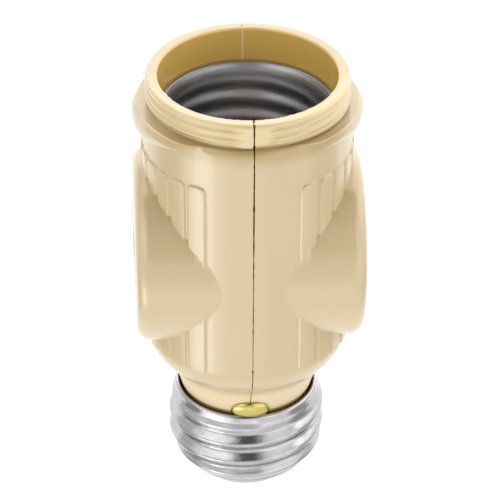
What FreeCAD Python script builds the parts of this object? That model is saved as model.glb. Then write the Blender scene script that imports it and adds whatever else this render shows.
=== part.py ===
import FreeCAD, Part
import math
import os
from FreeCAD import Vector as V

# Two-outlet lampholder adapter.  Millimetres, +Z up, +X / -X are the outlet
# faces, -Y is the front seam.  Z = 0 is the tip of the base contact.

# ---------------------------------------------------------------- dimensions
# heights
Z_BASE_RIM = 20.0        # upper edge of the base screw shell
Z_TOP = 80.0             # socket rim
Z_LEDGE = 75.7           # step under the collar thread
Z_UPPER = 66.0           # plain barrel meets the flange part
Z_NECK_BOTTOM = 4.95     # moulded neck stands on the shell bottom
# moulded body
R_BODY = 17.1
R_PANEL = 17.35          # raised vertical panels
R_COLLAR = 16.6          # crest of the collar thread
R_NECK = 10.85
COLLAR_PITCH = 1.4
COLLAR_DEPTH = 0.36
COLLAR_GROOVE_Z = 77.7   # a groove centre at azimuth 27.5 deg left of the seam
R_RELIEF = 16.1          # relief under the collar thread
R_FLANGE_EDGE = 17.5     # edge of the ledge at the sides
R_FLANGE_FRONT = 16.55   # and at the seams, where it rounds over
FLANGE_BULGE = 1.58      # extra radius of the flange over the outlets
PANEL_FIRST = 26.4       # degrees from the seam to the first panel edge
PANEL_COUNT = 11         # panels on each half
PANEL_GAP = 0.55         # groove between panels
Z_PANEL_LOW = 33.6
Z_PANEL_TOP = 67.7
SEAM_GAP = 0.08          # each half stops this far from the split plane
# outlets
BOSS_R = 16.3
BOSS_X = 18.8
BOSS_Z = 48.0
BOSS_FILLET = 2.3
SLOT_PITCH = 12.7
SLOT_W = 2.1
SLOT_HOT = 7.2
SLOT_NEUTRAL = 8.8
FACE_WALL_X = 16.2       # inside of the outlet face wall
# socket
R_MOUTH = 14.53
Z_SHELL_SEAT = 73.2      # shoulder under the flared edge of the shell
Z_MOUTH_LOW = 74.05
R_CHAMBER = 13.95
Z_DISC_LOW = 52.3
Z_DISC_TOP = 53.9
R_DISC = 14.25
# medium screw thread
PITCH = 3.629
R_CREST = 13.03          # male crest
R_ROOT = 12.35
SHELL_T = 0.4
Z_THREAD_PHASE = 12.685
R_SHELL_RIM = 12.1
R_SOCKET_MAJOR = 13.27   # inside of the female shell
R_SOCKET_MINOR = 12.62
SOCKET_T = 0.3
Z_SOCKET_EDGE = 74.0
Z_SOCKET_PHASE = 70.2
# electrical parts
STRIP_T = 0.6
STRAP_T = 0.8
Z_STRAP = 40.2
BLADE_GAP = 1.5
CLIP_T = 0.5
RIVET_R = 0.6
RIVET_HEAD_R = 1.1
NECK_RIVET_Z = 19.4
NECK_RIVET_R = 2.6
NECK_BORE_R = 8.2
CHANNEL_Y = 8.4          # flat of the lead channels in the neck bore
CASE_RIVET_R = 1.6


# ------------------------------------------------------------------- helpers
def box(x0, x1, y0, y1, z0, z1):
    return Part.makeBox(x1 - x0, y1 - y0, z1 - z0, V(x0, y0, z0))


def cyl(r, z0, z1, x=0.0, y=0.0):
    return Part.makeCylinder(r, z1 - z0, V(x, y, z0))


def cyl_axis(r, p, d, length):
    return Part.makeCylinder(r, length, V(*p), V(*d))


def lerp_table(table, t):
    if t <= table[0][0]:
        return table[0][1]
    for (a, fa), (b, fb) in zip(table, table[1:]):
        if t <= b:
            k = (t - a) / (b - a)
            k = k * k * (3 - 2 * k)
            return fa + (fb - fa) * k
    return table[-1][1]


def linear_table(table, t):
    if t <= table[0][0]:
        return table[0][1]
    for (a, fa), (b, fb) in zip(table, table[1:]):
        if t <= b:
            return fa + (fb - fa) * (t - a) / (b - a)
    return table[-1][1]


def round_surface(rfun, z0, z1, nu, nv):
    # closed surface r(angle, z); cubic, periodic round the axis
    fix = (2.0 + math.cos(2 * math.pi / nu)) / 3.0
    params = [0.0, 1.0 / 3.0] + [float(j) for j in range(1, nv)] + [nv - 1.0 / 3.0, float(nv)]
    poles = []
    for i in range(nu):
        a = 2 * math.pi * i / nu
        row = []
        for p in params:
            z = z0 + (z1 - z0) * p / nv
            r = rfun(a, z) / fix
            row.append(V(r * math.cos(a), r * math.sin(a), z))
        poles.append(row)
    s = Part.BSplineSurface()
    s.buildFromPolesMultsKnots(poles,
                               [1] * (nu + 1), [4] + [1] * (nv - 1) + [4],
                               [float(k) for k in range(nu + 1)],
                               [float(k) for k in range(nv + 1)],
                               True, False, 3, 3)
    return s.toShape()


def rim_edge(face, z):
    for e in face.Edges:
        b = e.BoundBox
        if abs(b.ZMin - z) < 1e-4 and abs(b.ZMax - z) < 1e-4:
            return e
    raise ValueError("no rim edge")


def sewn(faces):
    shell = Part.makeShell(faces)
    shell.sewShape()
    solid = Part.makeSolid(shell)
    if solid.Volume < 0:
        solid.reverse()
    return solid


def round_solid(rfun, z0, z1, nu, nv):
    f = round_surface(rfun, z0, z1, nu, nv)
    low = Part.Face(Part.Wire([rim_edge(f, z0)]))
    top = Part.Face(Part.Wire([rim_edge(f, z1)]))
    return sewn([f, low, top])


def revolve(points):
    # closed polygon of (r, z) turned about Z
    pts = [V(r, 0, z) for r, z in points]
    w = Part.makePolygon(pts + [pts[0]])
    return Part.Face(w).revolve(V(0, 0, 0), V(0, 0, 1), 360)


def revolve_mixed(edges):
    return Part.Face(Part.Wire(edges)).revolve(V(0, 0, 0), V(0, 0, 1), 360)


def line(a, b):
    return Part.makeLine(V(a[0], 0, a[1]), V(b[0], 0, b[1]))


def spline(points, t0=None, t1=None):
    c = Part.BSplineCurve()
    pts = [V(r, 0, z) for r, z in points]
    if t0 is None:
        c.interpolate(pts)
    else:
        c.interpolate(Points=pts, InitialTangent=V(t0[0], 0, t0[1]), FinalTangent=V(t1[0], 0, t1[1]))
    return c.toShape()


def dome(r, height, base, direction, rim=0.12):
    # low domed rivet head standing on the plane through base
    sphere_r = (r * r + (height - rim) ** 2) / (2 * (height - rim))
    c = sphere_r - (height - rim)
    edges = [Part.makeLine(V(0, 0, 0), V(r, 0, 0)),
             Part.makeLine(V(r, 0, 0), V(r, 0, rim)),
             Part.Arc(V(r, 0, rim),
                      V(sphere_r * math.sin(math.asin(r / sphere_r) / 2), 0,
                        rim + sphere_r * math.cos(math.asin(r / sphere_r) / 2) - c),
                      V(0, 0, height)).toShape(),
             Part.makeLine(V(0, 0, height), V(0, 0, 0))]
    s = Part.Face(Part.Wire(edges)).revolve(V(0, 0, 0), V(0, 0, 1), 360)
    s.Placement = FreeCAD.Placement(V(*base), FreeCAD.Rotation(V(0, 0, 1), V(*direction)))
    return s


def rivet(x, y, z0, z1, r=RIVET_R, head=RIVET_HEAD_R, hh=0.55):
    s = cyl(r, z0, z1, x, y)
    s = s.fuse(dome(head, hh, (x, y, z1), (0, 0, 1)))
    s = s.fuse(dome(head, hh, (x, y, z0), (0, 0, -1)))
    return s.removeSplitter()


def save(shape, name):
    if hasattr(shape, "Solids") and len(shape.Solids) == 1:
        shape = shape.Solids[0]
    shape.exportStep("parts/" + name + ".step")


# ----------------------------------------------------------- moulded outside
def azimuth(a):
    # degrees from the nearer seam, and signed degrees from the front seam
    signed = math.degrees(a) + 90.0
    while signed > 180.0:
        signed -= 360.0
    near = min(abs(signed), 180.0 - abs(signed))
    return near, signed


def collar_r(a, z):
    near, signed = azimuth(a)
    fade = min(1.0, max(0.0, (near - 11.0) / 8.0))
    fade = fade * fade * (3 - 2 * fade)
    phase = (z - COLLAR_GROOVE_Z) / COLLAR_PITCH - (signed + 27.5) / 360.0
    wave = 0.5 + 0.5 * math.cos(2 * math.pi * phase)
    wave = wave ** 0.85
    top = min(1.0, max(0.0, (Z_TOP - 0.55 - z) / 0.45))
    r = R_COLLAR - 1.06 * COLLAR_DEPTH * wave * fade * top
    low = (z - (Z_LEDGE + 0.55)) / 0.25
    if low < 1.0:
        k = max(0.0, low)
        k = k * k * (3 - 2 * k)
        r = R_RELIEF + (r - R_RELIEF) * k
    round_r = 0.7
    if z > Z_TOP - round_r:
        h = min(round_r, z - (Z_TOP - round_r))
        r -= round_r - math.sqrt(max(0.0, round_r * round_r - h * h))
    return r


def flange_r(a, z):
    # oval shoulder: rounded edge in front, bulging out over the outlets
    near, signed = azimuth(a)
    s = min(1.0, max(0.0, (near - 38.0) / 52.0))
    bulge = FLANGE_BULGE * s ** 1.45
    z_peak = 73.4
    entry = linear_table([(Z_UPPER, 0.06), (68.5, 0.05)], z)
    if z >= z_peak:
        k = min(1.0, max(0.0, (near - 18.0) / 26.0))
        edge = R_FLANGE_FRONT + (R_FLANGE_EDGE - R_FLANGE_FRONT) * k * k * (3 - 2 * k)
        peak = R_BODY + entry + bulge
        t = (Z_LEDGE - z) / (Z_LEDGE - z_peak)
        return edge + (peak - edge) * (1.0 - max(0.0, 1.0 - t) ** 4.2)
    z_low = z_peak - 0.15 - 4.9 * bulge / FLANGE_BULGE
    return R_BODY + entry + bulge * max(0.0, (z - z_low) / (z_peak - z_low))


collar = round_solid(collar_r, Z_LEDGE, Z_TOP, 144, 48)
flange = round_solid(flange_r, Z_UPPER, Z_LEDGE, 96, 44)

# barrel, rounded shoulder and neck
shoulder = spline([(R_BODY, 33.4), (16.8, 31.0), (15.4, 29.0), (14.3, 27.5), (13.3, 26.0),
                   (12.2, 24.5), (11.4, 23.0), (R_NECK, 21.0)], (0, -1), (0, -1))
core = revolve_mixed([line((0, Z_UPPER), (R_BODY, Z_UPPER)),
                      line((R_BODY, Z_UPPER), (R_BODY, 33.4)),
                      shoulder,
                      line((R_NECK, 21.0), (R_NECK, 8.6)),
                      line((R_NECK, 8.6), (9.7, Z_NECK_BOTTOM)),
                      line((9.7, Z_NECK_BOTTOM), (0, Z_NECK_BOTTOM)),
                      line((0, Z_NECK_BOTTOM), (0, Z_UPPER))])


def panel(a0, a1):
    # raised panel between two azimuths (degrees from the front seam, +X side)
    inner, outer = 16.2, R_PANEL
    pts = []
    for ang in (a0, a1):
        t = math.radians(ang - 90.0)
        pts.append((math.cos(t), math.sin(t)))
    m = math.radians((a0 + a1) / 2 - 90.0)
    mid = (math.cos(m), math.sin(m))
    z = Z_PANEL_LOW
    e = [Part.Arc(V(inner * pts[0][0], inner * pts[0][1], z), V(inner * mid[0], inner * mid[1], z),
                  V(inner * pts[1][0], inner * pts[1][1], z)).toShape(),
         Part.makeLine(V(inner * pts[1][0], inner * pts[1][1], z), V(outer * pts[1][0], outer * pts[1][1], z)),
         Part.Arc(V(outer * pts[1][0], outer * pts[1][1], z), V(outer * mid[0], outer * mid[1], z),
                  V(outer * pts[0][0], outer * pts[0][1], z)).toShape(),
         Part.makeLine(V(outer * pts[0][0], outer * pts[0][1], z), V(inner * pts[0][0], inner * pts[0][1], z))]
    s = Part.Face(Part.Wire(e)).extrude(V(0, 0, Z_PANEL_TOP - Z_PANEL_LOW))
    corners = []
    for ed in s.Edges:
        b = ed.BoundBox
        if b.ZMax - b.ZMin < 1e-6:
            d = ed.Vertexes[0].Point - ed.Vertexes[1].Point
            if abs(d.Length - (outer - inner)) < 1e-3 and ed.Curve.TypeId.endswith("Line"):
                corners.append(ed)
    s = s.makeFillet(0.9, corners)
    rim = []
    for ed in s.Edges:
        ok = True
        for k in range(5):
            p = ed.valueAt(ed.FirstParameter + (ed.LastParameter - ed.FirstParameter) * k / 4.0)
            if abs(math.hypot(p.x, p.y) - outer) > 2e-3:
                ok = False
        if ok:
            rim.append(ed)
    try:
        s = s.makeFillet(0.16, rim)
    except Exception:
        pass
    return s


panels = []
step = (180.0 - 2 * PANEL_FIRST) / PANEL_COUNT
gap_deg = math.degrees(PANEL_GAP / R_PANEL) / 2
for i in range(PANEL_COUNT):
    a0 = PANEL_FIRST + i * step + (gap_deg if i else 0.0)
    a1 = PANEL_FIRST + (i + 1) * step - (gap_deg if i < PANEL_COUNT - 1 else 0.0)
    p = panel(a0, a1)
    panels.append(p)
    panels.append(p.mirror(V(0, 0, 0), V(1, 0, 0)))

boss = cyl_axis(BOSS_R, (-BOSS_X, 0, BOSS_Z), (1, 0, 0), 2 * BOSS_X)
boss = boss.makeFillet(BOSS_FILLET, [e for e in boss.Edges
                                     if abs(e.BoundBox.XMax - e.BoundBox.XMin) < 1e-6])

body = core.multiFuse([flange, collar] + panels + [boss])
body = body.removeSplitter()

# ------------------------------------------------------------ moulded inside
cuts = [cyl(R_MOUTH, Z_MOUTH_LOW - 0.1, Z_TOP + 1),
        cyl(R_MOUTH + 0.22, Z_SHELL_SEAT, Z_MOUTH_LOW),
        cyl(R_CHAMBER, Z_DISC_TOP - 0.2, Z_SHELL_SEAT + 0.1),
        cyl(R_DISC + 0.1, Z_DISC_LOW, Z_DISC_TOP),
        cyl(NECK_BORE_R, 7.9, 36.0),
        cyl(1.75, Z_NECK_BOTTOM - 1, 8.0)]
for s in (-1, 1):
    y0, y1 = sorted((s * 2.6, s * 10.0))
    cuts.append(box(-FACE_WALL_X, FACE_WALL_X, y0, y1, Z_STRAP, Z_DISC_LOW + 0.1))
    # way for the lead from the contact chamber into the neck
    y0, y1 = sorted((s * 4.6, s * CHANNEL_Y))
    cuts.append(box(-2.3, 2.3, y0, y1, 33.0, Z_STRAP + 0.1))
    y0, y1 = sorted((s * 5.0, s * CHANNEL_Y))
    cuts.append(box(-2.3, 2.3, y0, y1, 14.9 if s < 0 else 7.9, 36.0))
    for x in (-3.8, 3.8):
        cuts.append(cyl(1.3, Z_STRAP - 0.8, Z_STRAP + 0.1, x, s * 6.35))
    # coring of the thick walls, open on the split plane
    y0, y1 = sorted((s * 12.0, s * 16.0))
    cuts.append(box(-16, 16, y0, y1, 30.0, Z_DISC_LOW + 0.1).common(cyl(14.9, 30.0, Z_DISC_LOW + 0.1)))
cuts.append(revolve([(10.2, 38.4), (14.9, 38.4), (14.9, 33.4), (14.4, 31.8), (12.9, 29.4), (11.4, 27.4),
                     (10.2, 26.2)]))
# recess over the web for the two upper tabs
cuts.append(box(-2.3, 2.3, -12.4, 6.0, 50.7, Z_DISC_LOW + 0.1))
cuts.append(cyl(1.9, 50.7, Z_DISC_LOW + 0.1, 0, 10.3))
# outlet slots
for sx in (-1, 1):
    for sy, length in ((-1, SLOT_NEUTRAL), (1, SLOT_HOT)):
        x0, x1 = sorted((sx * (FACE_WALL_X - 0.2), sx * (BOSS_X + 1)))
        y = sy * SLOT_PITCH / 2
        cuts.append(box(x0, x1, y - SLOT_W / 2, y + SLOT_W / 2, BOSS_Z - length / 2, BOSS_Z + length / 2))
    # seat of the case rivet head
    cuts.append(cyl_axis(3.2, (sx * (BOSS_X - 1.0), 0, BOSS_Z), (sx, 0, 0), 2.0))
cuts.append(cyl_axis(CASE_RIVET_R + 0.05, (-BOSS_X - 1, 0, BOSS_Z), (1, 0, 0), 2 * BOSS_X + 2))
# hole of the neck rivet, on the front seam, with the flat its head sits on
cuts.append(cyl_axis(1.25, (0, -R_NECK - 1, NECK_RIVET_Z), (0, 1, 0), 4.0))

cutter = cuts[0].multiFuse(cuts[1:])
body = body.cut(cutter)

big = 60
half_right = body.common(box(SEAM_GAP, big, -big, big, -5, 100))
half_left = body.common(box(-big, -SEAM_GAP, -big, big, -5, 100))


# ------------------------------------------------------------- screw shells
def base_shell_r(a, z):
    mean = linear_table([(4.55, 10.35), (4.9, 10.9), (5.6, 11.42), (6.5, 11.80), (7.6, 12.18), (9.0, 12.56),
                         (10.4, 12.69), (16.0, 12.69), (16.9, 12.52), (17.8, 12.24), (18.5, R_SHELL_RIM),
                         (20.0, R_SHELL_RIM)], z)
    amp = linear_table([(5.4, 0.0), (6.6, 0.20), (8.2, 0.34), (16.4, 0.34), (17.3, 0.18), (18.4, 0.0)], z)
    return mean + amp / 0.957 * math.cos(2 * math.pi * ((z - Z_THREAD_PHASE) / PITCH) - a)


def shell_wall(rfun, z0, z1, t, nu, nv):
    outer = round_solid(rfun, z0, z1, nu, nv)
    inner = round_solid(lambda a, z: rfun(a, z) - t, z0, z1, nu, nv)
    return outer.cut(inner)


base_wall = shell_wall(base_shell_r, 4.55, Z_BASE_RIM, SHELL_T, 72, 52)
base_floor = revolve([(8.2, 4.55), (10.2, 4.55), (10.2, 4.95), (8.2, 4.95)])
base_shell = base_wall.fuse(base_floor).removeSplitter()


def socket_shell_r(a, z):
    # outer skin of the female shell
    mean_in = (R_SOCKET_MAJOR + R_SOCKET_MINOR) / 2
    mean = linear_table([(53.9, 12.25), (54.6, 12.75), (55.4, mean_in), (70.8, mean_in), (71.6, 13.05),
                         (72.4, 13.28), (73.1, 13.42), (73.5, 13.68), (73.8, 14.02), (74.0, 14.12)], z)
    amp = linear_table([(54.4, 0.0), (56.2, (R_SOCKET_MAJOR - R_SOCKET_MINOR) / 2),
                        (70.2, (R_SOCKET_MAJOR - R_SOCKET_MINOR) / 2), (71.8, 0.0)], z)
    return mean + SOCKET_T + amp / 0.957 * math.cos(2 * math.pi * ((z - Z_SOCKET_PHASE) / PITCH) - a)


socket_wall = shell_wall(socket_shell_r, Z_DISC_TOP, Z_SOCKET_EDGE, SOCKET_T, 72, 66)
socket_floor = revolve([(8.6, Z_DISC_TOP), (12.4, Z_DISC_TOP), (12.62, Z_DISC_TOP + 0.35), (8.6, Z_DISC_TOP + 0.35)])
socket_shell = socket_wall.fuse(socket_floor).removeSplitter()
for s in (-1, 1):
    socket_shell = socket_shell.cut(cyl(0.95, 50, 58, 0, s * 10.3))

# --------------------------------------------------------- socket insulator
disc = cyl(R_DISC, Z_DISC_LOW, Z_DISC_TOP)
disc = disc.cut(cyl(1.25, 50, 58)).cut(cyl(0.95, 50, 58, 0, 10.3)).cut(cyl(0.95, 50, 58, 0, -10.3))

# centre contact spring, a strip bent back over itself
yz = [(-2.6, 53.9), (3.4, 53.9), (4.6, 55.0), (4.2, 56.7), (2.6, 57.4), (-2.4, 58.9), (-4.0, 58.3)]


def strip(points, t, x0, x1):
    # constant thickness strip following points in the YZ plane
    left, right = [], []
    n = len(points)
    for i in range(n):
        p0 = points[max(0, i - 1)]
        p1 = points[min(n - 1, i + 1)]
        if 0 < i < n - 1:
            d0 = (points[i][0] - p0[0], points[i][1] - p0[1])
            d1 = (p1[0] - points[i][0], p1[1] - points[i][1])
            l0, l1 = math.hypot(*d0), math.hypot(*d1)
            d0 = (d0[0] / l0, d0[1] / l0)
            d1 = (d1[0] / l1, d1[1] / l1)
            b = (d0[0] + d1[0], d0[1] + d1[1])
            lb = math.hypot(*b)
            b = (b[0] / lb, b[1] / lb)
            k = t / max(0.35, b[0] * d0[0] + b[1] * d0[1])
            nrm = (-b[1] * k, b[0] * k)
        else:
            d = (p1[0] - p0[0], p1[1] - p0[1])
            ld = math.hypot(*d)
            nrm = (-d[1] / ld * t, d[0] / ld * t)
        left.append(V(x0, points[i][0], points[i][1]))
        right.append(V(x0, points[i][0] + nrm[0], points[i][1] + nrm[1]))
    loop = left + right[::-1]
    return Part.Face(Part.makePolygon(loop + [loop[0]])).extrude(V(x1 - x0, 0, 0))


contact_spring = strip(yz, 0.5, -2.5, 2.5)
contact_spring = contact_spring.cut(cyl(1.25, 53, 54.5))
spring_edges = [e for e in contact_spring.Edges
                if abs(e.BoundBox.XMax - e.BoundBox.XMin - 5.0) < 1e-6 and 54.5 < e.BoundBox.Center.z < 58.9]
try:
    contact_spring = contact_spring.makeFillet(0.35, spring_edges)
except Exception:
    pass
contact_rivet = rivet(0, 0, 51.7, 54.4, 1.2, 2.0, 0.65)


# ------------------------------------------------------------- bus and leads
def strap(side, tab):
    # side -1 neutral (front), +1 hot (back)
    def b(x0, x1, ya, yb, z0, z1):
        y0, y1 = sorted((side * ya, side * yb))
        return box(x0, x1, y0, y1, z0, z1)
    s = b(-14.0, 14.0, 3.4, 8.9, Z_STRAP, Z_STRAP + STRAP_T)
    s = s.cut(b(-2.4, 2.4, 7.6, 9.5, Z_STRAP - 1, Z_STRAP + 2))
    s = s.fuse(b(-2.0, 2.0, 3.4, 4.2, Z_STRAP, 52.3))
    s = s.fuse(tab)
    for x, y in ((-3.8, 6.35), (3.8, 6.35), (0, 6.1)):
        s = s.cut(cyl(RIVET_R + 0.05, Z_STRAP - 1, Z_STRAP + 2, x, side * y))
    return s.removeSplitter()


hot_tab = box(-2.0, 2.0, -1.7, 4.2, 51.7, 52.3).cut(cyl(1.25, 50, 53))
neutral_tab = box(-2.0, 2.0, -12.0, -3.4, 51.7, 52.3).cut(cyl(0.95, 50, 53, 0, -10.3))
hot_strap = strap(1, hot_tab)
neutral_strap = strap(-1, neutral_tab)

z_foot = Z_STRAP + STRAP_T
hot_lead = box(-2.0, 2.0, CHANNEL_Y - STRIP_T, CHANNEL_Y, 7.9, z_foot + STRIP_T)
hot_lead = hot_lead.fuse(box(-2.0, 2.0, 4.9, CHANNEL_Y, z_foot, z_foot + STRIP_T))
hot_lead = hot_lead.fuse(box(-2.0, 2.0, -2.6, CHANNEL_Y, 7.9, 7.9 + STRIP_T))
hot_lead = hot_lead.cut(cyl(1.65, 7, 9)).cut(cyl(RIVET_R + 0.05, z_foot - 1, z_foot + 2, 0, 6.1)).removeSplitter()
neutral_lead = box(-2.0, 2.0, -CHANNEL_Y, -CHANNEL_Y + STRIP_T, 15.6, z_foot + STRIP_T)
neutral_lead = neutral_lead.fuse(box(-2.0, 2.0, -CHANNEL_Y, -4.9, z_foot, z_foot + STRIP_T))
neutral_lead = neutral_lead.cut(cyl_axis(1.25, (0, -10, NECK_RIVET_Z), (0, 1, 0), 4))
neutral_lead = neutral_lead.cut(cyl(RIVET_R + 0.05, z_foot - 1, z_foot + 2, 0, -6.1)).removeSplitter()


def clip(sx, sy):
    z = z_foot
    y = SLOT_PITCH / 2

    def b(x0, x1, ya, yb, z0, z1):
        xa, xb = sorted((sx * x0, sx * x1))
        y0, y1 = sorted((sy * ya, sy * yb))
        return box(xa, xb, y0, y1, z0, z1)
    o = BLADE_GAP / 2 + CLIP_T
    s = b(2.6, 15.6, y - o, y + o, z, z + CLIP_T)
    s = s.fuse(b(5.6, 15.6, y - o, y - BLADE_GAP / 2, z, 51.2))
    s = s.fuse(b(5.6, 15.6, y + BLADE_GAP / 2, y + o, z, 51.2))
    s = s.cut(cyl(RIVET_R + 0.05, z - 1, z + 2, sx * 3.8, sy * 6.35))
    return s.removeSplitter()


clips = {"hot_clip_left": clip(-1, 1), "hot_clip_right": clip(1, 1),
         "neutral_clip_left": clip(-1, -1), "neutral_clip_right": clip(1, -1)}

clip_rivets = [rivet(x, y, Z_STRAP, z_foot + CLIP_T) for x in (-3.8, 3.8) for y in (-6.35, 6.35)]
lead_rivets = [rivet(0, y, Z_STRAP, z_foot + STRIP_T) for y in (-6.1, 6.1)]
shell_rivets = [rivet(0, -10.3, 51.7, Z_DISC_TOP + 0.35, 0.9, 1.6, 0.6),
                rivet(0, 10.3, Z_DISC_LOW, Z_DISC_TOP + 0.35, 0.9, 1.6, 0.6)]

# rivet on the front seam of the neck, head towards the base shell
y_seat = -(R_NECK - 0.32)
neck_seat = cyl_axis(NECK_RIVET_R + 0.05, (0, y_seat, NECK_RIVET_Z), (0, -1, 0), 2.0)
half_right = half_right.cut(neck_seat)
half_left = half_left.cut(neck_seat)
neck_rivet = cyl_axis(1.2, (0, y_seat, NECK_RIVET_Z), (0, 1, 0), -(-CHANNEL_Y + STRIP_T) * -1 - y_seat)
neck_rivet = neck_rivet.fuse(dome(NECK_RIVET_R, 1.1, (0, y_seat, NECK_RIVET_Z), (0, -1, 0), 0.35))
neck_rivet = neck_rivet.fuse(dome(2.0, 0.6, (0, -CHANNEL_Y + STRIP_T, NECK_RIVET_Z), (0, 1, 0))).removeSplitter()

# rivet that closes the case, tubular heads in the outlet faces
case_rivet = cyl_axis(CASE_RIVET_R, (-BOSS_X + 1.0, 0, BOSS_Z), (1, 0, 0), 2 * BOSS_X - 2.0)
for sx in (-1, 1):
    case_rivet = case_rivet.fuse(dome(3.0, 0.85, (sx * (BOSS_X - 1.0), 0, BOSS_Z), (sx, 0, 0), 0.25))
case_rivet = case_rivet.removeSplitter()

# ------------------------------------------------------------------ base end
insulator = revolve([(1.75, 1.9), (5.0, 1.9), (5.5, 2.1), (8.9, 3.55), (9.3, 4.0), (9.3, 4.55),
                     (8.1, 4.55), (8.1, 4.95), (1.75, 4.95)])
contact_edges = [line((0, 0), (2.6, 0.0)),
                 spline([(2.6, 0.0), (3.7, 0.3), (4.35, 0.95), (4.5, 1.9)], (1, 0), (0, 1)),
                 line((4.5, 1.9), (1.6, 1.9)), line((1.6, 1.9), (1.6, 8.5)),
                 line((1.6, 8.5), (2.6, 8.5)), line((2.6, 8.5), (2.6, 8.8)),
                 line((2.6, 8.8), (2.1, 9.15)), line((2.1, 9.15), (0, 9.15)), line((0, 9.15), (0, 0))]
base_contact = revolve_mixed(contact_edges)

# -------------------------------------------------------------------- export
os.makedirs("parts", exist_ok=True)
save(half_left, "body_half_left")
save(half_right, "body_half_right")
save(base_shell, "base_screw_shell")
save(insulator, "base_insulator")
save(base_contact, "base_center_contact")
save(socket_shell, "socket_screw_shell")
save(disc, "socket_insulator")
save(contact_spring, "socket_center_contact")
save(contact_rivet, "center_contact_rivet")
save(hot_strap, "hot_strap")
save(neutral_strap, "neutral_strap")
save(hot_lead, "hot_lead")
save(neutral_lead, "neutral_lead")
for name, s in clips.items():
    save(s, name)
save(Part.makeCompound(clip_rivets), "clip_rivets")
save(Part.makeCompound(lead_rivets), "lead_rivets")
save(Part.makeCompound(shell_rivets), "shell_rivets")
save(neck_rivet, "neck_rivet")
save(case_rivet, "case_rivet")
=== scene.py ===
import math

import bmesh
import bpy
import numpy as np
from mathutils import Matrix, Vector


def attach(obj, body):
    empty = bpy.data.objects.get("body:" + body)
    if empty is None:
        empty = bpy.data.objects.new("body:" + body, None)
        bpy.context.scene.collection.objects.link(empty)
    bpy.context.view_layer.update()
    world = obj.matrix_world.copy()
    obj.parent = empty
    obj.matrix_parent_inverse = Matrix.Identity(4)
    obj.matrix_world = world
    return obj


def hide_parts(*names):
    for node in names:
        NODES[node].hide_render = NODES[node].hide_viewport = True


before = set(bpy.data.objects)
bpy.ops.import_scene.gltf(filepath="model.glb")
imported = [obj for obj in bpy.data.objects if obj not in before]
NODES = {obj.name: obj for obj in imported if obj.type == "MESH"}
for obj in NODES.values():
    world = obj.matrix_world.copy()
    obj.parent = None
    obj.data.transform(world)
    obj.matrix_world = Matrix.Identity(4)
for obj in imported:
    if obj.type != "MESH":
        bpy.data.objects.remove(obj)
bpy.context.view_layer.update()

rng = np.random.default_rng(7)

# ------------------------------------------------------------------ dimensions
# millimetres, the adapter's own frame: +Z up, -Y front seam, +X / -X outlets
Z_TOP, Z_LEDGE, Z_NECK_BOTTOM, Z_BASE_RIM = 80.0, 75.45, 4.95, 20.0
R_BODY, R_PANEL, R_COLLAR, R_NECK, R_RELIEF = 17.1, 17.45, 16.6, 10.85, 16.1
COLLAR_PITCH, COLLAR_DEPTH, COLLAR_GROOVE_Z = 1.45, 0.47, 77.55
R_LEDGE_SIDE, R_LEDGE_FRONT, BULGE = 17.95, 16.55, 1.65
PANEL_FIRST, PANEL_COUNT, PANEL_GAP = 26.4, 11, 0.55
Z_PANEL_LOW, Z_PANEL_TOP, PANEL_CORNER = 31.4, 67.9, 0.9
BOSS_R, BOSS_X, BOSS_Z, BOSS_FILLET = 16.3, 18.8, 48.0, 2.3
R_MOUTH, R_RECESS, R_CHAMBER, R_SEAT = 14.53, 14.75, 13.95, 14.35
PITCH, SHELL_T, Z_PHASE, R_SHELL_RIM = 3.629, 0.4, 12.1, 12.2
SOCKET_T, Z_SOCKET_PHASE = 0.3, 68.5
R_MAJOR, R_MINOR = 13.27, 12.62


# --------------------------------------------------------------------- helpers
def table(rows, t):
    xs = [r[0] for r in rows]
    ys = [r[1] for r in rows]
    return np.interp(t, xs, ys)


def smooth(t):
    t = np.clip(t, 0.0, 1.0)
    return t * t * (3 - 2 * t)


def clamped_spline(points, start, end, n):
    # cubic curve through points, with end directions
    p = np.array(points, float)
    d = np.hypot(*np.diff(p, axis=0).T)
    k = len(p)
    a = np.zeros((k, k))
    b = np.zeros((k, 2))
    a[0, 0] = a[-1, -1] = 1
    b[0], b[-1] = start, end
    for i in range(1, k - 1):
        a[i, i - 1], a[i, i], a[i, i + 1] = d[i], 2 * (d[i - 1] + d[i]), d[i - 1]
        b[i] = 3 * (d[i] * (p[i] - p[i - 1]) / d[i - 1] + d[i - 1] * (p[i + 1] - p[i]) / d[i])
    m = np.linalg.solve(a, b)
    out = []
    for i in range(k - 1):
        for s in np.linspace(0, 1, n, endpoint=False):
            h = d[i]
            out.append((1 + 2 * s) * (1 - s) ** 2 * p[i] + s * s * (3 - 2 * s) * p[i + 1]
                       + h * s * (1 - s) ** 2 * m[i] + h * s * s * (s - 1) * m[i + 1])
    out.append(p[-1])
    return np.array(out)


def new_object(name, verts, faces, scale=0.001):
    me = bpy.data.meshes.new(name)
    me.from_pydata([tuple(v) for v in np.asarray(verts, float) * scale], [], faces)
    me.validate()
    ob = bpy.data.objects.new(name, me)
    bpy.context.scene.collection.objects.link(ob)
    return ob


def outward(ob):
    bm = bmesh.new()
    bm.from_mesh(ob.data)
    bmesh.ops.recalc_face_normals(bm, faces=bm.faces)
    bm.to_mesh(ob.data)
    bm.free()


def rings(name, grid, cap_first=True, cap_last=True, loop=False):
    # grid: rows x columns x 3, columns go right round
    grid = np.asarray(grid, float)
    n, m = grid.shape[:2]
    faces = []
    last = n if loop else n - 1
    for i in range(last):
        a, b = i * m, ((i + 1) % n) * m
        for j in range(m):
            k = (j + 1) % m
            faces.append((a + j, a + k, b + k, b + j))
    if not loop:
        if cap_first:
            faces.append(tuple(range(m - 1, -1, -1)))
        if cap_last:
            faces.append(tuple(range((n - 1) * m, n * m)))
    ob = new_object(name, grid.reshape(-1, 3), faces)
    outward(ob)
    return ob


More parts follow.
